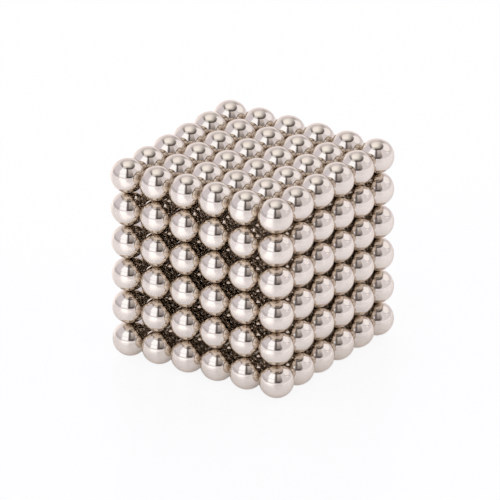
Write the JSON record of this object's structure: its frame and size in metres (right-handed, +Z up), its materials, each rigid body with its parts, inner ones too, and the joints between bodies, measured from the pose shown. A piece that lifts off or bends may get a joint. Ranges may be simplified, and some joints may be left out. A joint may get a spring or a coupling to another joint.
{
  "type": "magnetic desk sculpture",
  "caption": "Cube of polished magnetic balls for the desk, pulled apart and rebuilt by hand as strands, layers and loose balls.",
  "frame": {"origin": "centre of the square that the cube rests on, in the plane of the lowest balls' bottom poles", "axes": "+Z up, along the strands; +X to the right and -Y towards the viewer, along the cube's edges"},
  "size_m": [0.0298, 0.0298, 0.03],
  "materials": {
    "nickel_plating": "mirror-polished nickel plating, slightly warm"
  },
  "bodies": {
    "strand_x1_y1": {"strand_x1_y1": "nickel_plating"},
    "strand_x2_y1": {"strand_x2_y1": "nickel_plating"},
    "strand_x3_y1": {"strand_x3_y1": "nickel_plating"},
    "strand_x4_y1": {"strand_x4_y1": "nickel_plating"},
    "strand_x5_y1": {"strand_x5_y1": "nickel_plating"},
    "strand_x6_y1": {"strand_x6_y1": "nickel_plating"},
    "strand_x1_y2": {"strand_x1_y2": "nickel_plating"},
    "strand_x2_y2": {"strand_x2_y2": "nickel_plating"},
    "strand_x3_y2": {"strand_x3_y2": "nickel_plating"},
    "strand_x4_y2": {"strand_x4_y2": "nickel_plating"},
    "strand_x5_y2": {"strand_x5_y2": "nickel_plating"},
    "strand_x6_y2": {"strand_x6_y2": "nickel_plating"},
    "strand_x1_y3": {"strand_x1_y3": "nickel_plating"},
    "strand_x2_y3": {"strand_x2_y3": "nickel_plating"},
    "strand_x3_y3": {"strand_x3_y3": "nickel_plating"},
    "strand_x4_y3": {"strand_x4_y3": "nickel_plating"},
    "strand_x5_y3": {"strand_x5_y3": "nickel_plating"},
    "strand_x6_y3": {"strand_x6_y3": "nickel_plating"},
    "strand_x1_y4": {"strand_x1_y4": "nickel_plating"},
    "strand_x2_y4": {"strand_x2_y4": "nickel_plating"},
    "strand_x3_y4": {"strand_x3_y4": "nickel_plating"},
    "strand_x4_y4": {"strand_x4_y4": "nickel_plating"},
    "strand_x5_y4": {"strand_x5_y4": "nickel_plating"},
    "strand_x6_y4": {"strand_x6_y4": "nickel_plating"},
    "strand_x1_y5": {"strand_x1_y5": "nickel_plating"},
    "strand_x2_y5": {"strand_x2_y5": "nickel_plating"},
    "strand_x3_y5": {"strand_x3_y5": "nickel_plating"},
    "strand_x4_y5": {"strand_x4_y5": "nickel_plating"},
    "strand_x5_y5": {"strand_x5_y5": "nickel_plating"},
    "strand_x6_y5": {"strand_x6_y5": "nickel_plating"},
    "strand_x1_y6": {"strand_x1_y6": "nickel_plating"},
    "strand_x2_y6": {"strand_x2_y6": "nickel_plating"},
    "strand_x3_y6": {"strand_x3_y6": "nickel_plating"},
    "strand_x4_y6": {"strand_x4_y6": "nickel_plating"},
    "strand_x5_y6": {"strand_x5_y6": "nickel_plating"},
    "strand_x6_y6": {"strand_x6_y6": "nickel_plating"},
    "ball_x1_y1_z6": {"ball_x1_y1_z6": "nickel_plating"},
    "ball_x2_y1_z6": {"ball_x2_y1_z6": "nickel_plating"},
    "ball_x3_y1_z6": {"ball_x3_y1_z6": "nickel_plating"},
    "ball_x4_y1_z6": {"ball_x4_y1_z6": "nickel_plating"},
    "ball_x5_y1_z6": {"ball_x5_y1_z6": "nickel_plating"},
    "ball_x6_y1_z6": {"ball_x6_y1_z6": "nickel_plating"},
    "ball_x1_y2_z6": {"ball_x1_y2_z6": "nickel_plating"},
    "ball_x6_y2_z6": {"ball_x6_y2_z6": "nickel_plating"},
    "ball_x1_y3_z6": {"ball_x1_y3_z6": "nickel_plating"},
    "ball_x6_y3_z6": {"ball_x6_y3_z6": "nickel_plating"},
    "ball_x1_y4_z6": {"ball_x1_y4_z6": "nickel_plating"},
    "ball_x6_y4_z6": {"ball_x6_y4_z6": "nickel_plating"},
    "ball_x1_y5_z6": {"ball_x1_y5_z6": "nickel_plating"},
    "ball_x6_y5_z6": {"ball_x6_y5_z6": "nickel_plating"},
    "ball_x1_y6_z6": {"ball_x1_y6_z6": "nickel_plating"},
    "ball_x2_y6_z6": {"ball_x2_y6_z6": "nickel_plating"},
    "ball_x3_y6_z6": {"ball_x3_y6_z6": "nickel_plating"},
    "ball_x4_y6_z6": {"ball_x4_y6_z6": "nickel_plating"},
    "ball_x5_y6_z6": {"ball_x5_y6_z6": "nickel_plating"},
    "ball_x6_y6_z6": {"ball_x6_y6_z6": "nickel_plating"}
  },
  "joints": [
    {"name": "column_roll_1", "type": "hinge", "parent": "strand_x1_y1", "child": "strand_x2_y1", "pos_m": [-0.0125, -0.0125, 0], "axis": [0, 0, -1], "range_deg": [0, 60]},
    {"name": "column_roll_2", "type": "hinge", "parent": "strand_x2_y1", "child": "strand_x3_y1", "pos_m": [-0.0075, -0.0125, 0], "axis": [0, 0, -1], "range_deg": [0, 60]},
    {"name": "column_roll_3", "type": "hinge", "parent": "strand_x3_y1", "child": "strand_x4_y1", "pos_m": [-0.0025, -0.0125, 0], "axis": [0, 0, -1], "range_deg": [0, 60]},
    {"name": "column_roll_4", "type": "hinge", "parent": "strand_x4_y1", "child": "strand_x5_y1", "pos_m": [0.0025, -0.0125, 0], "axis": [0, 0, -1], "range_deg": [0, 60]},
    {"name": "column_roll_5", "type": "hinge", "parent": "strand_x5_y1", "child": "strand_x6_y1", "pos_m": [0.0075, -0.0125, 0], "axis": [0, 0, -1], "range_deg": [0, 60]},
    {"name": "layer_slide_1", "type": "slide", "parent": "strand_x1_y2", "child": "strand_x1_y1", "axis": [1, 0, 0], "range_m": [0, 0.025]},
    {"name": "layer_slide_2", "type": "slide", "parent": "strand_x1_y3", "child": "strand_x1_y2", "axis": [1, 0, 0], "range_m": [0, 0.025]},
    {"name": "layer_slide_3", "type": "slide", "parent": "strand_x1_y4", "child": "strand_x1_y3", "axis": [1, 0, 0], "range_m": [0, 0.025]},
    {"name": "layer_slide_4", "type": "slide", "parent": "strand_x1_y5", "child": "strand_x1_y4", "axis": [1, 0, 0], "range_m": [0, 0.025]},
    {"name": "layer_slide_5", "type": "slide", "parent": "strand_x1_y6", "child": "strand_x1_y5", "axis": [1, 0, 0], "range_m": [0, 0.025]},
    {"name": "lift_x2_y2", "type": "slide", "parent": "strand_x1_y2", "child": "strand_x2_y2", "axis": [0, 0, 1], "range_m": [0, 0.03]},
    {"name": "lift_x3_y2", "type": "slide", "parent": "strand_x1_y2", "child": "strand_x3_y2", "axis": [0, 0, 1], "range_m": [0, 0.03]},
    {"name": "lift_x4_y2", "type": "slide", "parent": "strand_x1_y2", "child": "strand_x4_y2", "axis": [0, 0, 1], "range_m": [0, 0.03]},
    {"name": "lift_x5_y2", "type": "slide", "parent": "strand_x1_y2", "child": "strand_x5_y2", "axis": [0, 0, 1], "range_m": [0, 0.03]},
    {"name": "lift_x6_y2", "type": "slide", "parent": "strand_x1_y2", "child": "strand_x6_y2", "axis": [0, 0, 1], "range_m": [0, 0.03]},
    {"name": "lift_x2_y3", "type": "slide", "parent": "strand_x1_y3", "child": "strand_x2_y3", "axis": [0, 0, 1], "range_m": [0, 0.03]},
    {"name": "lift_x3_y3", "type": "slide", "parent": "strand_x1_y3", "child": "strand_x3_y3", "axis": [0, 0, 1], "range_m": [0, 0.03]},
    {"name": "lift_x4_y3", "type": "slide", "parent": "strand_x1_y3", "child": "strand_x4_y3", "axis": [0, 0, 1], "range_m": [0, 0.03]},
    {"name": "lift_x5_y3", "type": "slide", "parent": "strand_x1_y3", "child": "strand_x5_y3", "axis": [0, 0, 1], "range_m": [0, 0.03]},
    {"name": "lift_x6_y3", "type": "slide", "parent": "strand_x1_y3", "child": "strand_x6_y3", "axis": [0, 0, 1], "range_m": [0, 0.03]},
    {"name": "lift_x2_y4", "type": "slide", "parent": "strand_x1_y4", "child": "strand_x2_y4", "axis": [0, 0, 1], "range_m": [0, 0.03]},
    {"name": "lift_x3_y4", "type": "slide", "parent": "strand_x1_y4", "child": "strand_x3_y4", "axis": [0, 0, 1], "range_m": [0, 0.03]},
    {"name": "lift_x4_y4", "type": "slide", "parent": "strand_x1_y4", "child": "strand_x4_y4", "axis": [0, 0, 1], "range_m": [0, 0.03]},
    {"name": "lift_x5_y4", "type": "slide", "parent": "strand_x1_y4", "child": "strand_x5_y4", "axis": [0, 0, 1], "range_m": [0, 0.03]},
    {"name": "lift_x6_y4", "type": "slide", "parent": "strand_x1_y4", "child": "strand_x6_y4", "axis": [0, 0, 1], "range_m": [0, 0.03]},
    {"name": "lift_x2_y5", "type": "slide", "parent": "strand_x1_y5", "child": "strand_x2_y5", "axis": [0, 0, 1], "range_m": [0, 0.03]},
    {"name": "lift_x3_y5", "type": "slide", "parent": "strand_x1_y5", "child": "strand_x3_y5", "axis": [0, 0, 1], "range_m": [0, 0.03]},
    {"name": "lift_x4_y5", "type": "slide", "parent": "strand_x1_y5", "child": "strand_x4_y5", "axis": [0, 0, 1], "range_m": [0, 0.03]},
    {"name": "lift_x5_y5", "type": "slide", "parent": "strand_x1_y5", "child": "strand_x5_y5", "axis": [0, 0, 1], "range_m": [0, 0.03]},
    {"name": "lift_x6_y5", "type": "slide", "parent": "strand_x1_y5", "child": "strand_x6_y5", "axis": [0, 0, 1], "range_m": [0, 0.03]},
    {"name": "lift_x2_y6", "type": "slide", "parent": "strand_x1_y6", "child": "strand_x2_y6", "axis": [0, 0, 1], "range_m": [0, 0.03]},
    {"name": "lift_x3_y6", "type": "slide", "parent": "strand_x1_y6", "child": "strand_x3_y6", "axis": [0, 0, 1], "range_m": [0, 0.03]},
    {"name": "lift_x4_y6", "type": "slide", "parent": "strand_x1_y6", "child": "strand_x4_y6", "axis": [0, 0, 1], "range_m": [0, 0.03]},
    {"name": "lift_x5_y6", "type": "slide", "parent": "strand_x1_y6", "child": "strand_x5_y6", "axis": [0, 0, 1], "range_m": [0, 0.03]},
    {"name": "lift_x6_y6", "type": "slide", "parent": "strand_x1_y6", "child": "strand_x6_y6", "axis": [0, 0, 1], "range_m": [0, 0.03]},
    {"name": "lift_x1_y1_z6", "type": "slide", "parent": "strand_x1_y1", "child": "ball_x1_y1_z6", "axis": [0, 0, 1], "range_m": [0, 0.01]},
    {"name": "lift_x2_y1_z6", "type": "slide", "parent": "strand_x2_y1", "child": "ball_x2_y1_z6", "axis": [0, 0, 1], "range_m": [0, 0.01]},
    {"name": "lift_x3_y1_z6", "type": "slide", "parent": "strand_x3_y1", "child": "ball_x3_y1_z6", "axis": [0, 0, 1], "range_m": [0, 0.01]},
    {"name": "lift_x4_y1_z6", "type": "slide", "parent": "strand_x4_y1", "child": "ball_x4_y1_z6", "axis": [0, 0, 1], "range_m": [0, 0.01]},
    {"name": "lift_x5_y1_z6", "type": "slide", "parent": "strand_x5_y1", "child": "ball_x5_y1_z6", "axis": [0, 0, 1], "range_m": [0, 0.01]},
    {"name": "lift_x6_y1_z6", "type": "slide", "parent": "strand_x6_y1", "child": "ball_x6_y1_z6", "axis": [0, 0, 1], "range_m": [0, 0.01]},
    {"name": "lift_x1_y2_z6", "type": "slide", "parent": "strand_x1_y2", "child": "ball_x1_y2_z6", "axis": [0, 0, 1], "range_m": [0, 0.01]},
    {"name": "lift_x6_y2_z6", "type": "slide", "parent": "strand_x6_y2", "child": "ball_x6_y2_z6", "axis": [0, 0, 1], "range_m": [0, 0.01]},
    {"name": "lift_x1_y3_z6", "type": "slide", "parent": "strand_x1_y3", "child": "ball_x1_y3_z6", "axis": [0, 0, 1], "range_m": [0, 0.01]},
    {"name": "lift_x6_y3_z6", "type": "slide", "parent": "strand_x6_y3", "child": "ball_x6_y3_z6", "axis": [0, 0, 1], "range_m": [0, 0.01]},
    {"name": "lift_x1_y4_z6", "type": "slide", "parent": "strand_x1_y4", "child": "ball_x1_y4_z6", "axis": [0, 0, 1], "range_m": [0, 0.01]},
    {"name": "lift_x6_y4_z6", "type": "slide", "parent": "strand_x6_y4", "child": "ball_x6_y4_z6", "axis": [0, 0, 1], "range_m": [0, 0.01]},
    {"name": "lift_x1_y5_z6", "type": "slide", "parent": "strand_x1_y5", "child": "ball_x1_y5_z6", "axis": [0, 0, 1], "range_m": [0, 0.01]},
    {"name": "lift_x6_y5_z6", "type": "slide", "parent": "strand_x6_y5", "child": "ball_x6_y5_z6", "axis": [0, 0, 1], "range_m": [0, 0.01]},
    {"name": "lift_x1_y6_z6", "type": "slide", "parent": "strand_x1_y6", "child": "ball_x1_y6_z6", "axis": [0, 0, 1], "range_m": [0, 0.01]},
    {"name": "lift_x2_y6_z6", "type": "slide", "parent": "strand_x2_y6", "child": "ball_x2_y6_z6", "axis": [0, 0, 1], "range_m": [0, 0.01]},
    {"name": "lift_x3_y6_z6", "type": "slide", "parent": "strand_x3_y6", "child": "ball_x3_y6_z6", "axis": [0, 0, 1], "range_m": [0, 0.01]},
    {"name": "lift_x4_y6_z6", "type": "slide", "parent": "strand_x4_y6", "child": "ball_x4_y6_z6", "axis": [0, 0, 1], "range_m": [0, 0.01]},
    {"name": "lift_x5_y6_z6", "type": "slide", "parent": "strand_x5_y6", "child": "ball_x5_y6_z6", "axis": [0, 0, 1], "range_m": [0, 0.01]},
    {"name": "lift_x6_y6_z6", "type": "slide", "parent": "strand_x6_y6", "child": "ball_x6_y6_z6", "axis": [0, 0, 1], "range_m": [0, 0.01]}
  ]
}
